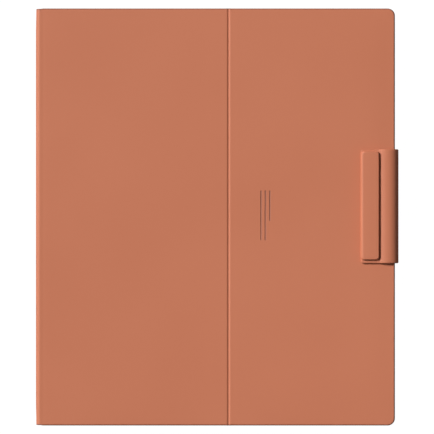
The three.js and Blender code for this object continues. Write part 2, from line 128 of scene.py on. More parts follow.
# ---- mark pressed into the cover: three plain lines
MARK_LINES_X = (24.1, 26.5, 28.9)
MARK_Y = 0.9
MARK_HALF_LENGTHS = (13.7, 13.7, 8.4)
MARK_WIDTH = 0.95
MARK_DEPTH = 0.2
# The press's section: depth as a share of the mark's, and width as a share; above the leather in mm.
MARK_SECTION_BELOW = ((-1.0, 0.25), (-0.85, 0.55), (-0.45, 0.82))
MARK_SECTION_ABOVE = ((0.02, 1.0), (0.4, 1.0))

# ---- reader
READER_X = (-97.4, 95.6)
READER_Y = (-113.0, 113.0)
READER_Z = (2.0, 7.8)
READER_CORNER = 9.0
READER_LOW_RADIUS = 1.7
READER_TOP_RADIUS = 0.3
READER_WALL = 1.3
READER_CAVITY_Z = 2.9
READER_OPEN_Z = 9.0
SEAT_INSET = 0.9
SEAT_Z = 7.05
LENS_INSET = 1.0
LENS_Z = (7.15, 7.75)
LENS_CORNER = READER_CORNER - LENS_INSET
BORDER_Z = (7.11, 7.14)
SCREEN_X = (-74.6, 82.6)
SCREEN_Y = (-104.8, 104.8)
BUTTON_X = (-74.0, -60.0)
BUTTON_Z = (3.3, 5.0)
CARD_X = (40.0, 52.4)
CARD_Z = (3.8, 5.0)
USB_X = (-91.2, -82.3)
USB_Z = (3.2, 6.4)
USB_BACK_Y = -109.3
MOUTH_GAP = 0.1
SPEAKER_X = (-62.0, 72.0)
SPEAKER_HOLES = 7
SPEAKER_PITCH = 2
SPEAKER_HOLE_RADIUS = 0.5
MIC_X = 20.0
MIC_RADIUS = 0.4
BOTTOM_HOLE_Z = 4.5
BOTTOM_WALL_Y = (-115.0, -110.0)
TOP_WALL_Y = (110.0, 115.0)

# ---- camera and light
FRAME_WIDTH = 238.2
CAMERA_DISTANCE = 1700.0
VIEW_CENTRE = (-0.15, 0.0)
SENSOR_WIDTH = 36.0
FLOOR_DROP = 9.0
# Radius and height of the floor's sweep, in metres.
FLOOR_PROFILE = ((0.02, 0.0), (3.0, 0.0), (3.8, 0.25), (4.4, 0.9), (4.6, 2.0), (4.6, 8.0))
FLOOR_SIDES = 64
WORLD_STRENGTH = 0.11
KEY_LIGHT = {"elevation": 43, "azimuth": 150, "energy": 3.89, "angle": 16}
RIM_LIGHT = {"elevation": 14, "azimuth": 170, "energy": 0.9, "angle": 50}
FILL_LIGHT = {"elevation": 6, "azimuth": -40, "energy": 0.3, "angle": 60}


# ---------------------------------------------------------------- mesh helpers
def new_object(name, vertices, faces):
    mesh = bpy.data.meshes.new(name)
    mesh.from_pydata([(x * MM, y * MM, z * MM) for x, y, z in vertices], [], faces)
    piece = bpy.data.objects.new(name, mesh)
    bpy.context.scene.collection.objects.link(piece)
    face_outwards(piece)
    smooth(piece)
    return piece


def face_outwards(piece):
    """Drops faces without an area, and turns the others so that the solid is the right way out."""
    shape = bmesh.new()
    shape.from_mesh(piece.data)
    bmesh.ops.dissolve_degenerate(shape, edges=shape.edges, dist=NO_LENGTH)
    bmesh.ops.recalc_face_normals(shape, faces=shape.faces)
    if shape.calc_volume(signed=True) < 0:
        bmesh.ops.reverse_faces(shape, faces=shape.faces)
    shape.to_mesh(piece.data)
    shape.free()


def smooth(piece, degrees=38):
    piece.data.shade_smooth()
    piece.data.set_sharp_from_angle(angle=math.radians(degrees))


def quarter(steps):
    """Angles from nothing to a right angle."""
    return [0.5 * math.pi * i / steps for i in range(steps + 1)]


def spread(start, end, spacing):
    """Even places from start to end, no further apart than the spacing."""
    count = max(1, math.ceil(abs(end - start) / spacing))
    return [start + (end - start) * i / count for i in range(count + 1)]


def rounding(radius, inset):
    """How far a rounded edge has dropped, at this distance in from the outline."""
    if inset >= radius:
        return 0.0
    return radius - math.sqrt(max(radius * radius - (radius - inset) ** 2, 0.0))


def toward(a, b, distance):
    """The point at this distance from a on the way to b."""
    span = math.dist(a, b)
    share = distance / span if span > 1e-9 else 0.0
    return tuple(p + (q - p) * share for p, q in zip(a, b))


def smoothstep(value, low, high):
    share = min(max((value - low) / (high - low), 0.0), 1.0)
    return share * share * (3 - 2 * share)


def subtract(piece, tools, solver="EXACT"):
    """Cuts the tools out of the piece, and removes them."""
    for tool in tools:
        cut = piece.modifiers.new("cut", "BOOLEAN")
        cut.operation = "DIFFERENCE"
        cut.solver = solver
        cut.object = tool
    bpy.context.view_layer.update()
    shown = piece.evaluated_get(bpy.context.evaluated_depsgraph_get())
    mesh = bpy.data.meshes.new_from_object(shown)
    piece.modifiers.clear()
    piece.data = mesh
    for tool in tools:
        bpy.data.objects.remove(tool)
    smooth(piece)


# ---------------------------------------------------------------- swept sheets
# A station is (outer point, inner point, place along the sheet, setback of its ends); points are X and Z.
# An outline is (where the sheet ends along itself, half its length in Y, corner radius at that end).
ROW_INSETS = (0.0, 0.05, 0.16, 0.34, 0.58, 0.85, 1.5, 3.0, 5.5, 8.5, 12.0)


def rows_of(half, centre, middle_rows):
    """Y of a station's rows, closer together near both ends."""
    edge = [half - inset for inset in ROW_INSETS]
    step = 2 * edge[-1] / (middle_rows + 1)
    middle = [step * i - edge[-1] for i in range(1, middle_rows + 1)]
    below = [centre - y for y in edge]
    above = [centre + y for y in reversed(edge)]
    return below + [centre + y for y in middle] + above


def half_length(place, setback, outline):
    """Half the sheet's length in Y at this place, less round its corners."""
    end, half, corner = outline
    over = max(place - (end - corner), 0.0)
    return half - setback - corner + math.sqrt(max(corner * corner - over * over, 0.0))


def edge_inset(place, y, setback, outline):
    """Distance in from the outline, round its corners too."""
    end, half, corner = outline
    over_end = place - (end - corner)
    over_side = abs(y) - (half - setback - corner)
    if over_end > 0 and over_side > 0:
        return corner - math.hypot(over_end, over_side)
    return min(end - place, half - setback - abs(y))


def swept_sheet(name, stations, outline, centre_y=0.0, edge_radius=EDGE_RADIUS, middle_rows=16, crown=0.0):
    """A closed sheet: pairs of outer and inner points, swept along Y, its edges rounded over."""
    count = 2 * len(ROW_INSETS) + middle_rows
    vertices = []
    for outer, inner, place, setback in stations:
        radius = min(edge_radius, 0.47 * math.dist(outer, inner))
        for y in rows_of(half_length(place, setback, outline), centre_y, middle_rows):
            inset = max(edge_inset(place, y - centre_y, setback, outline), 0.0)
            drop = rounding(radius, inset)
            fall = crown * (1 - smoothstep(inset, 0.0, CROWN_WIDTH))
            top = toward(outer, inner, drop + fall)
            low = toward(inner, outer, drop)
            vertices.append((top[0], y, top[1]))
            vertices.append((low[0], y, low[1]))
    return new_object(name, vertices, sheet_faces(len(stations), count))


def paint_edge_shade(piece, end):
    """Gives the faces nearest the cover's outline the piece's second material, a painted shade for the
    rounded edge turning away from the light.
    """
    for face in piece.data.polygons:
        x, y, _ = (value / MM for value in face.center)
        if edge_inset(x, y, setback_at(x), (end, HALF_Y, CORNER)) < PAINTED_SHADE_BAND:
            face.material_index = 1


def sheet_faces(stations, rows):
    def at(station, row, side):
        return 2 * (station * rows + row) + side

    faces = []
    for s in range(stations - 1):
        for r in range(rows - 1):
            faces.append((at(s, r, 0), at(s + 1, r, 0), at(s + 1, r + 1, 0), at(s, r + 1, 0)))
            faces.append((at(s, r, 1), at(s, r + 1, 1), at(s + 1, r + 1, 1), at(s + 1, r, 1)))
        for r in (0, rows - 1):
            faces.append((at(s, r, 0), at(s, r, 1), at(s + 1, r, 1), at(s + 1, r, 0)))
    for s in (0, stations - 1):
        for r in range(rows - 1):
            faces.append((at(s, r, 0), at(s, r + 1, 0), at(s, r + 1, 1), at(s, r, 1)))
    return faces


# ---------------------------------------------------------------- folio leather
def setback_at(x):
    """The spine and its folds stop short of the covers' ends."""
    return SPINE_SETBACK * (1 - smoothstep(x, FOLD_X, -95.2))


def hinge_dip(x):
    return dip(x - HINGE_DIP_X, HINGE_DIP_HALF, HINGE_DIP_DEPTH)


def dip(distance, half_width, depth):
    if abs(distance) >= half_width:
        return 0.0
    return 0.5 * depth * (1 + math.cos(math.pi * distance / half_width))


def columns(start, end, corner):
    """X of the stations to the free edge, closer together round its corners."""
    flat = spread(start, end - 16.0, COLUMN_SPACING)
    flat += [end - before for before in COLUMNS_BEFORE_END]
    return flat + [end - corner + corner * math.sin(angle) for angle in quarter(12)]


def lower_spine():
    """Stations from the middle of the spine down round the rear fold, to where the back panel starts."""
    found = []
    for z in (SPINE_SEAM_Z, 3.8, 3.0):
        found.append(((SPINE_X, z), (SPINE_INSIDE_X, z), AWAY, SPINE_SETBACK))
    found.append(((SPINE_X, 2.65), (-97.8, 2.6), AWAY, SPINE_SETBACK))
    found.append(((SPINE_X, 2.45), (-98.3, 2.42), AWAY, SPINE_SETBACK))
    for angle in quarter(10):
        out = (FOLD_X - FOLD_RADIUS * math.cos(angle), FOLD_RADIUS * (1 - math.sin(angle)))
        radius = FOLD_RADIUS - FOLD_THICK
        inside = (FOLD_X - radius * math.cos(angle), FOLD_RADIUS - radius * math.sin(angle))
        found.append((out, inside, AWAY, SPINE_SETBACK))
    return found


def back_panel(end, corner):
    """Stations of the back cover, from its hinge to the free edge."""
    found = []
    insides = ((-97.15, 0.95), (-97.0, 1.4), (-96.9, 1.8), (-96.5, BACK_INSIDE))
    for x, inside in zip((-97.1, -96.9, -96.65, -96.4), insides):
        found.append(((x, hinge_dip(x)), inside, x, setback_at(x)))
    for x in (-96.1, -95.85, -95.6, -95.3, -94.8, -94.3, -93.8):
        found.append(((x, hinge_dip(x)), (x, BACK_INSIDE), x, setback_at(x)))
    for x in columns(PANEL_START_X, end, corner):
        found.append(((x, 0.0), (x, BACK_INSIDE), x, 0.0))
    return found


def upper_spine():
    """Stations from the middle of the spine up round the front fold, to the front panel's seam."""
    found = []
    for z in (SPINE_SEAM_Z, 6.0, 6.8):
        found.append(((SPINE_X, z), (SPINE_INSIDE_X, z), AWAY, SPINE_SETBACK))
    found.append(((SPINE_X, 7.15), (-97.8, 7.2), AWAY, SPINE_SETBACK))
    found.append(((SPINE_X, 7.35), (-98.3, 7.38), AWAY, SPINE_SETBACK))
    centre_z = FRONT_TOP - FOLD_RADIUS
    radius = FOLD_RADIUS - FOLD_THICK
    for angle in quarter(10):
        out = (FOLD_X - FOLD_RADIUS * math.cos(angle), centre_z + FOLD_RADIUS * math.sin(angle))
        inside = (FOLD_X - radius * math.cos(angle), centre_z + radius * math.sin(angle))
        found.append((out, inside, AWAY, SPINE_SETBACK))
    for x in (-97.1, -96.8, -96.5, SEAM_X):
        found.append(((x, FRONT_TOP - hinge_dip(x)), (x, FRONT_TOP - FOLD_THICK), x, setback_at(x)))
    return found


def front_seam():
    """Stations from the fold's thin leather into the full thickness of the front cover."""
    insides = ((-96.25, 8.9), (-96.15, 8.84), (-96.08, 8.6), (-96.03, 8.2), (-95.98, 7.98), (-95.85, 7.93))
    found = []
    for x, inside in zip((SEAM_X, -96.1, -95.95, -95.8, -95.65, -95.5), insides):
        found.append(((x, FRONT_TOP - hinge_dip(x)), inside, x, setback_at(x)))
    for x in (-95.2, -94.8, -94.3, -93.8):
        found.append(((x, FRONT_TOP - hinge_dip(x)), (x, FRONT_INSIDE), x, setback_at(x)))
    return found


def front_panel(end, corner):
    """Stations of the front cover, from its hinge over the crease to the free edge."""
    found = []
    for x in spread(PANEL_START_X, CREASE_X - CREASE_MARGIN, COLUMN_SPACING):
        found.append(((x, FRONT_TOP), (x, FRONT_INSIDE), x, 0.0))
    for i in range(-CREASE_STEPS - 3, CREASE_STEPS + 4):
        offset = CREASE_HALF * i / CREASE_STEPS
        x = CREASE_X + offset
        top = FRONT_TOP - dip(offset, CREASE_HALF, CREASE_DEPTH)
        channel = CREASE_CHANNEL * (1 - smoothstep(abs(offset), *CREASE_CHANNEL_HALVES))
        found.append(((x, top), (x, FRONT_INSIDE + channel), x, 0.0))
    for x in columns(CREASE_X + CREASE_MARGIN, end, corner):
        found.append(((x, FRONT_TOP), (x, FRONT_INSIDE), x, 0.0))
    return found


def lining_of(stations):
    """A thin sheet on the inner side of these stations."""
    found = []
    for outer, inner, place, setback in stations:
        sunk = toward(inner, outer, min(LINING_SUNK, 0.4 * math.dist(inner, outer)))
        found.append((sunk, toward(inner, outer, -LINING_RISE), place, setback))
    return found


def folio_pieces():
    """Leather and lining of the folio, in three lengths: back, spine and front."""
    cover = (FREE_X, HALF_Y, CORNER)
    spine = (FAR, HALF_Y, CORNER)
    inside_cover = (FREE_X - LINING_MARGIN, HALF_Y - LINING_MARGIN, 2.0)
    inside_spine = (FAR, HALF_Y - LINING_MARGIN, 2.0)
    skins = {
        "back": (lower_spine() + back_panel(FREE_X, CORNER), cover),
        "spine": (upper_spine(), spine),
        "front": (front_seam() + front_panel(FREE_X, CORNER), cover),
    }
    linings = {
        "back": (lower_spine() + back_panel(inside_cover[0], 2.0), inside_cover),
        "spine": (upper_spine(), inside_spine),
        "front": (front_seam() + front_panel(inside_cover[0], 2.0), inside_cover),
    }
    stands_for = {
        "back": ["back_skin", "rear_fold_strip", "spine_skin"],
        "spine": ["front_fold_strip"],
        "front": ["front_inner_skin", "crease_strip", "front_outer_skin"],
    }
    lined = {
        "back": ["back_lining", "spine_lining"],
        "spine": [],
        "front": ["front_inner_lining", "front_outer_lining"],
    }
    for name in skins:
        skin = swept_sheet(f"leather_{name}", *skins[name], crown=CROWN)
        skin.data.materials.append(leather())
        # The second material paints the cover's outline darker, as painted shade on the rounded edge.
        skin.data.materials.append(leather_edge_painted_shade())
        paint_edge_shade(skin, FREE_X)
        if name == "front":
            press_mark(skin)
        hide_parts(*stands_for[name])
        bend_with_fold(skin)
        stations, outline = linings[name]
        lining = swept_sheet(f"lining_{name}", lining_of(stations), outline, edge_radius=0.12)
        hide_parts(*lined[name])
        lining.data.materials.append(microfibre())
        bend_with_fold(lining)


def bend_with_fold(piece):
    """Bakes the piece's placement into its mesh; it does not bend at a fold."""
    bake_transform(piece)


def mark_tools():
    """Bars that press the mark's three lines into the front cover: wide at the surface, narrow below."""
    tools = []
    for i, half in enumerate(MARK_HALF_LENGTHS):
        y = MARK_Y + max(MARK_HALF_LENGTHS) - half
        tools.append(press_bar(f"press_{i}", MARK_LINES_X[i], y, half))
    return tools


def press_mark(skin):
    """Presses the mark into the front cover; its walls and floor take the third material."""
    skin.data.materials.append(leather_pressed())
    subtract(skin, mark_tools(), solver="FAST")
    for face in skin.data.polygons:
        x, y, z = (value / MM for value in face.center)
        in_line = min(abs(x - line) for line in MARK_LINES_X) < 0.5 * MARK_WIDTH
        in_reach = abs(y - MARK_Y) < max(MARK_HALF_LENGTHS) + 0.1
        pressed = FRONT_TOP - MARK_DEPTH - 0.05 < z < FRONT_TOP - 0.004
        if in_line and in_reach and pressed:
            face.material_index = 2


def press_bar(name, x, y, half):
    section = [(MARK_DEPTH * depth, width) for depth, width in MARK_SECTION_BELOW]
    section += MARK_SECTION_ABOVE
    rings = []
    for height, width in section:
        outline = capsule(x, y, 0.5 * MARK_WIDTH * width, half)
        rings.append([(px, py, FRONT_TOP + height) for px, py in outline])
    return loft(name, rings)


def capsule(x, y, radius, half, steps=8):
    """A round-ended bar along Y, as points in order."""
    points = []
    for end, start in ((1, 0.0), (-1, math.pi)):
        centre_y = y + end * (half - radius)
        for i in range(steps + 1):
            angle = start + math.pi * i / steps
            points.append((x + radius * math.cos(angle), centre_y + radius * math.sin(angle)))
    return points


# ---------------------------------------------------------------- lofted solids
def loft(name, rings):
    """A solid skinned over rings of points, closed at the first and the last."""
    count = len(rings[0])
    vertices = [point for ring in rings for point in ring]
    faces = []
    for r in range(len(rings) - 1):
        for i in range(count):
            j = (i + 1) % count
            faces.append((r * count + i, r * count + j, (r + 1) * count + j, (r + 1) * count + i))
    faces.append(tuple(range(count - 1, -1, -1)))
    faces.append(tuple(range((len(rings) - 1) * count, len(rings) * count)))
    return new_object(name, vertices, faces)


def rectangle(span_x, span_y, corner, inset, steps=10):
    """A rectangle with rounded corners, drawn in by the inset, as points in order."""
    radius = max(corner - inset, 0.02)
    x0, x1 = span_x[0] + inset + radius, span_x[1] - inset - radius
    y0, y1 = span_y[0] + inset + radius, span_y[1] - inset - radius
    points = []
    for cx, cy, start in ((x1, y1, 0), (x0, y1, 1), (x0, y0, 2), (x1, y0, 3)):
        for angle in quarter(steps):
            turned = angle + 0.5 * math.pi * start
            points.append((cx + radius * math.cos(turned), cy + radius * math.sin(turned)))
    return points


def rounded_slab(name, span_x, span_y, span_z, corner, low_radius, top_radius, steps=6):
    """A flat block with rounded corners and rounded lower and upper edges."""
    low, top = span_z
    levels = [(low_radius + 0.4, low)]
    for angle in quarter(steps):
        levels.append((low_radius * (1 - math.sin(angle)), low + low_radius * (1 - math.cos(angle))))
    for angle in quarter(steps):
        levels.append((top_radius * (1 - math.cos(angle)), top - top_radius * (1 - math.sin(angle))))
    levels.append((top_radius + 0.4, top))
    rings = []
    for inset, z in levels:
        rings.append([(x, y, z) for x, y in rectangle(span_x, span_y, corner, inset)])
    return loft(name, rings)


def bar_along_y(name, span_x, span_z, span_y, edge_radius=0.0):
    """A bar with round sides, lying along Y, its far end rounded over."""
    middle = 0.5 * (span_z[0] + span_z[1])
    radius = 0.5 * (span_z[1] - span_z[0])
    levels = [(0.0, span_y[0])]
    for angle in quarter(4 if edge_radius else 1):
        levels.append((edge_radius * (1 - math.cos(angle)), span_y[1] - edge_radius * (1 - math.sin(angle))))
    rings = []
    for inset, y in levels:
        reach = radius - inset
        ring = []
        for end, start in ((span_x[1] - radius, -0.5 * math.pi), (span_x[0] + radius, 0.5 * math.pi)):
            for i in range(9):
                angle = start + math.pi * i / 8
                ring.append((end + reach * math.cos(angle), y, middle + reach * math.sin(angle)))
        rings.append(ring)
    return loft(name, rings)


# ---------------------------------------------------------------- clasp
def bezier(points, share):
    """Point and unit direction on a cubic curve in X and Z."""
    rest = 1 - share
    spot = []
    run = []
    for a, b, c, d in zip(*points):
        spot.append(rest**3 * a + 3 * rest**2 * share * b + 3 * rest * share**2 * c + share**3 * d)
        run.append(rest**2 * (b - a) + 2 * rest * share * (c - b) + share**2 * (d - c))
    length = math.hypot(*run)
    return spot, (run[0] / length, run[1] / length)


def strap_station(spot, along, place):
    """Outer and inner points beside the strap's middle line; along points from the flap to the back."""
    half = STRAP_THICK / 2
    outer = (spot[0] - along[1] * half, spot[1] + along[0] * half)
    inner = (spot[0] + along[1] * half, spot[1] - along[0] * half)
    return (outer, inner, place, 0.0)


def strap_over_edge():
    """The strap from its seam at the side, over the free edge, to its end under the bar."""
    stations = []
    for z in (STRAP_SEAM_Z, 5.5):
        stations.append(strap_station((STRAP_RUN_X, z), (0, -1), AWAY))
    for i in range(20, -1, -1):
        stations.append(strap_station(*bezier(STRAP_FALL, i / 20), AWAY))
    for i in range(13, -1, -1):
        stations.append(strap_station(*bezier(STRAP_RISE, i / 14), AWAY))
    ends = [86.0, 83.0]
    ends += [FLAP_END_X + FLAP_CORNER * (1 - math.sin(angle)) for angle in quarter(8)]
    for x in ends:
        stations.append(strap_station((x, FLAP_MID_Z), (1, 0), FLAP_START_X - x))
    return stations


def strap_from_back():
    """The strap from inside the back cover, round its edge, up to the seam at the side."""
    stations = [
        strap_station((93.5, 0.97), (-1, 0), AWAY),
        strap_station((97.0, 0.88), (-1, 0.05), AWAY),
    ]
    centre = (STRAP_FOLD_CENTRE_X, STRAP_THICK / 2 + STRAP_FOLD)
    for angle in quarter(10):
        spot = (centre[0] + STRAP_FOLD * math.sin(angle), centre[1] - STRAP_FOLD * math.cos(angle))
        stations.append(strap_station(spot, (-math.cos(angle), -math.sin(angle)), AWAY))
    for z in (3.0, STRAP_SEAM_Z):
        stations.append(strap_station((STRAP_RUN_X, z), (0, -1), AWAY))
    return stations


def strap_piece(name, stations, outline, *nodes):
    strap = swept_sheet(name, stations, outline, STRAP_CENTRE_Y, STRAP_EDGE_RADIUS, STRAP_ROWS)
    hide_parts(*nodes)
    strap.data.materials.append(leather())
    return strap


def clasp_pieces():
    """The strap in two lengths, and the cover of its bar, which rides with the flap."""
    sides = (FAR, STRAP_HALF_Y, 1.0)
    nodes = ("clasp_rear_fold", "clasp_side_strap")
    lower = strap_piece("clasp_leather_side", strap_from_back(), sides, *nodes)
    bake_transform(lower)

    tip = (FLAP_START_X - FLAP_END_X, STRAP_HALF_Y, FLAP_CORNER)
    nodes = ("clasp_front_fold", "clasp_flap_strap")
    upper = strap_piece("clasp_leather_flap", strap_over_edge(), tip, *nodes)
    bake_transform(upper)

    bar = bar_cover()
    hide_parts("clasp_bar_cover")
    bar.data.materials.append(leather())
    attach(bar, "clasp_flap")


def bar_cover():
    """The raised bar: its left side slopes in a wide round, its other edges are tight."""
    low, top = BAR_Z
    heights = [low, low + 0.1]
    for angle in quarter(9):
        heights.append(top - BAR_SLOPE_RADIUS * (1 - math.sin(angle)))
    for angle in quarter(7)[:-1]:
        heights.append(top - BAR_EDGE_RADIUS * (1 - math.sin(angle)))
    rings = []
    for z in sorted(heights):
        slope = BAR_SLOPE_RADIUS - across(BAR_SLOPE_RADIUS, top - z)
        edge = BAR_EDGE_RADIUS - across(BAR_EDGE_RADIUS, top - z)
        span_x = (BAR_X[0] + slope, BAR_X[1] - edge)
        span_y = (BAR_Y[0] + edge, BAR_Y[1] - edge)
        rings.append([(x, y, z) for x, y in rectangle(span_x, span_y, BAR_CORNER, 0.0)])
    return loft("clasp_bar_leather", rings)


def across(radius, depth):
    """Half the width of a round edge at this depth below its top."""
    if depth >= radius:
        return radius
    return math.sqrt(radius * radius - (radius - depth) ** 2)


# ---------------------------------------------------------------- reader
def drill(name, x, radius):
    """A round hole through the reader's bottom wall."""
    span_z = (BOTTOM_HOLE_Z - radius, BOTTOM_HOLE_Z + radius)
    return bar_along_y(name, (x - radius, x + radius), span_z, BOTTOM_WALL_Y)


def speaker_holes():
    holes = []
    for centre in SPEAKER_X:
        for i in range(SPEAKER_HOLES):
            x = centre + SPEAKER_PITCH * (i - SPEAKER_HOLES // 2)
            holes.append(drill("hole", x, SPEAKER_HOLE_RADIUS))
    return holes


def mouth(name, span_x, span_z, span_y):
    """An opening in the reader's wall, a little larger than what sits in it."""
    return bar_along_y(name, grown(span_x, MOUTH_GAP), grown(span_z, MOUTH_GAP), span_y)


def grown(span, gap):
    return (span[0] - gap, span[1] + gap)


def reader_shell():
    """The reader's metal tray, with its cavity, the glass's seat and the openings in its walls."""
    radii = (READER_CORNER, READER_LOW_RADIUS, READER_TOP_RADIUS)
    shell = rounded_slab("reader_shell", READER_X, READER_Y, READER_Z, *radii)
    inner_x, inner_y = grown(READER_X, -READER_WALL), grown(READER_Y, -READER_WALL)
    seat_x, seat_y = grown(READER_X, -SEAT_INSET), grown(READER_Y, -SEAT_INSET)
    inner_z, seat_z = (READER_CAVITY_Z, READER_OPEN_Z), (SEAT_Z, READER_OPEN_Z)
    tools = [
        rounded_slab("cavity", inner_x, inner_y, inner_z, READER_CORNER - READER_WALL, 0.6, 0.1),
        rounded_slab("seat", seat_x, seat_y, seat_z, READER_CORNER - SEAT_INSET, 0.02, 0.1),
        mouth("usb_mouth", USB_X, USB_Z, (BOTTOM_WALL_Y[0], USB_BACK_Y)),
        mouth("card_mouth", CARD_X, CARD_Z, BOTTOM_WALL_Y),
        mouth("key_mouth", BUTTON_X, BUTTON_Z, TOP_WALL_Y),
        drill("mic_hole", MIC_X, MIC_RADIUS),
    ]
    subtract(shell, tools + speaker_holes())
    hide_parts("rear_shell")
    shell.data.materials.append(anodised())
    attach(shell, "reader")


def power_key():
    key = bar_along_y("power_key", BUTTON_X, BUTTON_Z, (111.1, 113.4), edge_radius=0.3)
    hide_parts("power_button")
    key.data.materials.append(anodised())
    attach(key, "power_button")


def lens():
    """The front glass, and under it the dark printed border round the screen."""
    span_x, span_y = grown(READER_X, -LENS_INSET), grown(READER_Y, -LENS_INSET)
    pane = rounded_slab("front_lens", span_x, span_y, LENS_Z, LENS_CORNER, 0.1, 0.25)
    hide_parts("cover_glass")
    pane.data.materials.append(lens_glass())
    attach(pane, "reader")
    border = rounded_slab("printed_border", span_x, span_y, BORDER_Z, LENS_CORNER, 0.01, 0.01)
    window = rounded_slab("window", SCREEN_X, SCREEN_Y, (6.0, 8.0), 0.6, 0.02, 0.02)
    subtract(border, [window])
    border.data.materials.append(plastic("border_ink", (0.018, 0.019, 0.021), 0.45))
    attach(border, "reader")


# ---------------------------------------------------------------- materials
_materials = {}


def start_material(name):
    """A node material with its Principled shader, and the point in millimetres."""
    made = bpy.data.materials.new(name)
    made.use_nodes = True
    nodes, links = made.node_tree.nodes, made.node_tree.links
    shader = nodes["Principled BSDF"]
    place = nodes.new("ShaderNodeTexCoord")
    scale = nodes.new("ShaderNodeVectorMath")
    scale.operation = "SCALE"
    scale.inputs["Scale"].default_value = 1 / MM
    links.new(place.outputs["Object"], scale.inputs[0])
    _materials[name] = made
    return made, nodes, links, shader, scale.outputs[0]


def noise(nodes, links, where, per_mm, detail=3.0, roughness=0.5):
    node = nodes.new("ShaderNodeTexNoise")
    node.inputs["Scale"].default_value = per_mm
    node.inputs["Detail"].default_value = detail
    node.inputs["Roughness"].default_value = roughness
    links.new(where, node.inputs["Vector"])
    return node.outputs["Fac"]


def cells(nodes, links, where, per_mm, feature):
    node = nodes.new("ShaderNodeTexVoronoi")
    node.feature = feature
    node.inputs["Scale"].default_value = per_mm
    links.new(where, node.inputs["Vector"])
    return node.outputs["Distance"]


def ramp(nodes, links, value, low, high):
    """A colour between low and high, by value."""
    node = nodes.new("ShaderNodeValToRGB")
    node.color_ramp.elements[0].position = 0.3
    node.color_ramp.elements[0].color = (*low, 1)
    node.color_ramp.elements[1].position = 0.7
    node.color_ramp.elements[1].color = (*high, 1)
    links.new(value, node.inputs["Fac"])
    return node.outputs["Color"]


def between(nodes, links, value, low, high):
    node = nodes.new("ShaderNodeMapRange")
    node.inputs["From Min"].default_value = 0.3
    node.inputs["From Max"].default_value = 0.7
    node.inputs["To Min"].default_value = low
    node.inputs["To Max"].default_value = high
    links.new(value, node.inputs["Value"])
    return node.outputs["Result"]


def bump(nodes, links, height, depth_mm, strength, under=None):
    node = nodes.new("ShaderNodeBump")
    node.inputs["Strength"].default_value = strength
    node.inputs["Distance"].default_value = depth_mm * MM
    links.new(height, node.inputs["Height"])
    if under is not None:
        links.new(under, node.inputs["Normal"])
    return node.outputs["Normal"]


def leather():
    """Smooth matte imitation leather, terracotta, with a fine pressed grain."""
    return hide("folio_leather", (0.500, 0.162, 0.084), (0.518, 0.171, 0.090), 0.58)


def leather_edge_painted_shade():
    """The same leather painted darker along the cover's outline: painted shade for the rounded edge turning
    away from the light.
    """
    return hide("leather_edge_painted_shade", (0.25, 0.078, 0.048), (0.29, 0.090, 0.055), 0.5)


def leather_pressed():
    """The same leather, darker, for the walls and floor of the pressed mark."""
    return hide("leather_pressed", (0.34, 0.125, 0.078), (0.38, 0.135, 0.085), 0.6)


def hide(name, dark, pale, rough):
    """Imitation leather between two tones, with slow changes of sheen and a fine grain."""
    if name in _materials:
        return _materials[name]
    made, nodes, links, shader, where = start_material(name)
    tone = noise(nodes, links, where, per_mm=0.015, detail=2.0)
    links.new(ramp(nodes, links, tone, dark, pale), shader.inputs["Base Color"])
    patches = noise(nodes, links, where, per_mm=0.25, detail=3.0)
    links.new(between(nodes, links, patches, rough - 0.03, rough + 0.05), shader.inputs["Roughness"])
    grain = cells(nodes, links, where, per_mm=1.8, feature="SMOOTH_F1")
    pores = noise(nodes, links, where, per_mm=5.0, detail=2.0)
    first = bump(nodes, links, grain, depth_mm=0.02, strength=0.28)
    second = bump(nodes, links, pores, depth_mm=0.01, strength=0.24, under=first)
    links.new(second, shader.inputs["Normal"])
    shader.inputs["Specular IOR Level"].default_value = 0.32
    return made


def microfibre():
    """Brushed lining: soft, matte, with a short nap."""
    if "microfibre" in _materials:
        return _materials["microfibre"]
    made, nodes, links, shader, where = start_material("microfibre")
    streaks = noise(nodes, links, where, per_mm=0.5, detail=5.0, roughness=0.65)
    colour = ramp(nodes, links, streaks, (0.112, 0.094, 0.083), (0.140, 0.119, 0.106))
    links.new(colour, shader.inputs["Base Color"])
    shader.inputs["Roughness"].default_value = 0.95
    shader.inputs["Sheen Weight"].default_value = 0.35
    shader.inputs["Sheen Roughness"].default_value = 0.4
    nap = noise(nodes, links, where, per_mm=9.0, detail=3.0, roughness=0.7)
    links.new(bump(nodes, links, nap, depth_mm=0.05, strength=0.5), shader.inputs["Normal"])
    return made


def anodised():
    """Bead-blasted dark metal of the reader's body."""
    if "anodised" in _materials:
        return _materials["anodised"]
    made, nodes, links, shader, where = start_material("anodised")
    tone = noise(nodes, links, where, per_mm=0.05, detail=2.0)
    colour = ramp(nodes, links, tone, (0.046, 0.050, 0.056), (0.056, 0.060, 0.067))
    links.new(colour, shader.inputs["Base Color"])
    shader.inputs["Metallic"].default_value = 0.55
    fine = noise(nodes, links, where, per_mm=12.0, detail=2.0)
    links.new(between(nodes, links, fine, 0.42, 0.52), shader.inputs["Roughness"])
    links.new(bump(nodes, links, fine, depth_mm=0.008, strength=0.3), shader.inputs["Normal"])
    return made


def lens_glass():
    """Etched front glass, mostly see-through, with a soft gloss."""
    if "lens_glass" in _materials:
        return _materials["lens_glass"]
    made, nodes, links, shader, where = start_material("lens_glass")
    etched = noise(nodes, links, where, per_mm=14.0, detail=2.0)
    colour = ramp(nodes, links, etched, (0.020, 0.022, 0.024), (0.028, 0.030, 0.032))
    links.new(colour, shader.inputs["Base Color"])
    links.new(between(nodes, links, etched, 0.22, 0.3), shader.inputs["Roughness"])
    shader.inputs["Alpha"].default_value = 0.12
    return made


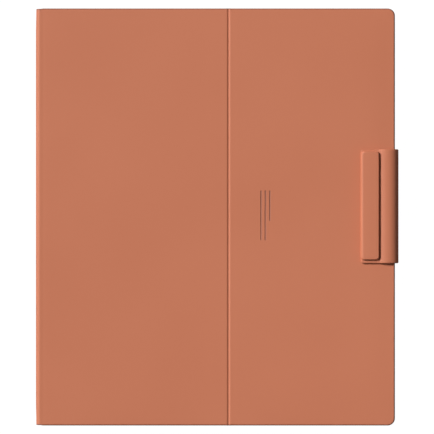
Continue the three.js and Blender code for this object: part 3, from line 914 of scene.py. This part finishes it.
def plastic(name, colour, rough):
    """Moulded plastic with a fine spark-eroded surface."""
    made, nodes, links, shader, where = start_material(name)
    tone = noise(nodes, links, where, per_mm=0.1, detail=2.0)
    darker = tuple(0.92 * c for c in colour)
    links.new(ramp(nodes, links, tone, darker, colour), shader.inputs["Base Color"])
    fine = noise(nodes, links, where, per_mm=5.0, detail=2.0)
    links.new(between(nodes, links, fine, rough - 0.04, rough + 0.05), shader.inputs["Roughness"])
    links.new(bump(nodes, links, fine, depth_mm=0.01, strength=0.25), shader.inputs["Normal"])
    return made


def metal(name, colour, rough, brushed=0.0):
    """Bare metal; brushed stretches its grain along Y."""
    made, nodes, links, shader, where = start_material(name)
    stretch = nodes.new("ShaderNodeMapping")
    stretch.inputs["Scale"].default_value = (1.0, 1.0 - 0.97 * brushed, 1.0)
    links.new(where, stretch.inputs["Vector"])
    lines = noise(nodes, links, stretch.outputs["Vector"], per_mm=4.0, detail=3.0)
    darker = tuple(0.88 * c for c in colour)
    links.new(ramp(nodes, links, lines, darker, colour), shader.inputs["Base Color"])
    shader.inputs["Metallic"].default_value = 1.0
    links.new(between(nodes, links, lines, rough - 0.05, rough + 0.07), shader.inputs["Roughness"])
    links.new(bump(nodes, links, lines, depth_mm=0.006, strength=0.3), shader.inputs["Normal"])
    return made


def epaper():
    """The screen at rest: a blank page with the faint speckle of its ink."""
    made, nodes, links, shader, where = start_material("epaper")
    speckle = noise(nodes, links, where, per_mm=8.0, detail=2.0)
    colour = ramp(nodes, links, speckle, (0.72, 0.72, 0.69), (0.77, 0.77, 0.74))
    links.new(colour, shader.inputs["Base Color"])
    shader.inputs["Roughness"].default_value = 0.85
    return made


def clear_guide():
    """The clear sheet that spreads the front light."""
    made, nodes, links, shader, where = start_material("clear_guide")
    haze = noise(nodes, links, where, per_mm=0.2, detail=2.0)
    colour = ramp(nodes, links, haze, (0.80, 0.85, 0.88), (0.84, 0.89, 0.92))
    links.new(colour, shader.inputs["Base Color"])
    shader.inputs["Roughness"].default_value = 0.1
    shader.inputs["Alpha"].default_value = 0.06
    return made


def circuit():
    """Green board with its tracks."""
    made, nodes, links, shader, where = start_material("circuit")
    tracks = cells(nodes, links, where, per_mm=0.6, feature="DISTANCE_TO_EDGE")
    colour = ramp(nodes, links, tracks, (0.03, 0.16, 0.09), (0.015, 0.09, 0.05))
    links.new(colour, shader.inputs["Base Color"])
    shader.inputs["Roughness"].default_value = 0.4
    links.new(bump(nodes, links, tracks, depth_mm=0.02, strength=0.4), shader.inputs["Normal"])
    return made


def fibreboard():
    """Pressed board that stiffens the covers."""
    made, nodes, links, shader, where = start_material("fibreboard")
    fibres = noise(nodes, links, where, per_mm=1.2, detail=4.0, roughness=0.7)
    colour = ramp(nodes, links, fibres, (0.20, 0.17, 0.14), (0.30, 0.27, 0.23))
    links.new(colour, shader.inputs["Base Color"])
    shader.inputs["Roughness"].default_value = 0.9
    links.new(bump(nodes, links, fibres, depth_mm=0.05, strength=0.4), shader.inputs["Normal"])
    return made


def paint_cad(frame):
    """A finish for every CAD node that stays in view, by its slot in the record."""
    finishes = {
        "folio_leather": leather(),
        "fold_leather": leather(),
        "fibreboard": fibreboard(),
        "microfibre": microfibre(),
        "magnet": metal("nickel", (0.62, 0.62, 0.60), 0.25),
        "steel": metal("stamped_steel", (0.50, 0.51, 0.53), 0.32, brushed=1.0),
        "shell": anodised(),
        "frame_alloy": metal("frame_alloy", (0.42, 0.43, 0.45), 0.4, brushed=1.0),
        "cover_glass": lens_glass(),
        "light_guide": clear_guide(),
        "epaper": epaper(),
        "circuit_board": circuit(),
        "copper_flex": metal("copper_film", (0.62, 0.34, 0.14), 0.35),
        "black_plastic": plastic("black_moulding", (0.03, 0.03, 0.032), 0.5),
        "battery_foil": metal("battery_foil", (0.55, 0.55, 0.53), 0.4),
    }
    for subpart in frame["record"]["subparts"]:
        node = frame["nodes"][subpart["node"]]
        node.data.materials.clear()
        node.data.materials.append(finishes[subpart["material_slot"]])


# ---------------------------------------------------------------- stage
def floor():
    """A white floor that sweeps up all round, low enough for the covers to swing round behind the back."""
    vertices = []
    for radius, height in FLOOR_PROFILE:
        for i in range(FLOOR_SIDES):
            angle = 2 * math.pi * i / FLOOR_SIDES
            vertices.append((radius * math.cos(angle), radius * math.sin(angle), height))
    faces = [tuple(range(FLOOR_SIDES))]
    for ring in range(len(FLOOR_PROFILE) - 1):
        low, high = ring * FLOOR_SIDES, (ring + 1) * FLOOR_SIDES
        for i in range(FLOOR_SIDES):
            j = (i + 1) % FLOOR_SIDES
            faces.append((low + i, low + j, high + j, high + i))
    mesh = bpy.data.meshes.new("floor")
    mesh.from_pydata(vertices, [], faces)
    ground = bpy.data.objects.new("floor", mesh)
    bpy.context.scene.collection.objects.link(ground)
    ground.location.z = -FLOOR_DROP * MM
    mesh.materials.append(floor_white())
    ground.visible_diffuse = False
    ground.visible_glossy = False
    ground.visible_shadow = False


def floor_white():
    """Glowing white, bright enough to hide the shadow under the object."""
    made = bpy.data.materials.new("floor_white")
    made.use_nodes = True
    shader = made.node_tree.nodes["Principled BSDF"]
    shader.inputs["Base Color"].default_value = (0.04, 0.04, 0.04, 1)
    shader.inputs["Roughness"].default_value = 1.0
    shader.inputs["Specular IOR Level"].default_value = 0.0
    shader.inputs["Emission Color"].default_value = (1, 1, 1, 1)
    shader.inputs["Emission Strength"].default_value = 1.0
    return made


def light():
    """One wide key light, two soft ones that stay out of reflections, and a dim white world."""
    world = bpy.data.worlds.new("studio")
    bpy.context.scene.world = world
    world.use_nodes = True
    background = world.node_tree.nodes["Background"]
    background.inputs["Color"].default_value = (1, 1, 1, 1)
    background.inputs["Strength"].default_value = WORLD_STRENGTH
    sun("key", **KEY_LIGHT)
    for soft in (sun("rim", **RIM_LIGHT), sun("fill", **FILL_LIGHT)):
        soft.visible_glossy = False


def sun(name, elevation, azimuth, energy, angle):
    """A sun lamp that shines from this elevation and azimuth, in degrees."""
    lamp = bpy.data.lights.new(name, "SUN")
    lamp.energy = energy
    lamp.angle = math.radians(angle)
    source = bpy.data.objects.new(name, lamp)
    bpy.context.scene.collection.objects.link(source)
    source.rotation_euler = (math.radians(90 - elevation), 0, math.radians(azimuth + 90))
    return source


def camera():
    """Straight above the cover, looking down."""
    optics = bpy.data.cameras.new("camera")
    optics.sensor_width = SENSOR_WIDTH
    optics.lens = SENSOR_WIDTH * (CAMERA_DISTANCE - FRONT_TOP) / FRAME_WIDTH
    optics.clip_start = 0.05
    optics.clip_end = 20.0
    viewer = bpy.data.objects.new("camera", optics)
    bpy.context.scene.collection.objects.link(viewer)
    viewer.location = (VIEW_CENTRE[0] * MM, VIEW_CENTRE[1] * MM, CAMERA_DISTANCE * MM)
    bpy.context.scene.camera = viewer


# ---------------------------------------------------------------- build
bpy.ops.object.select_all(action="SELECT")
bpy.ops.object.delete()
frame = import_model()
camera()
light()
floor()
paint_cad(frame)
folio_pieces()
clasp_pieces()
reader_shell()
power_key()
lens()
bpy.context.scene.view_settings.view_transform = "Standard"
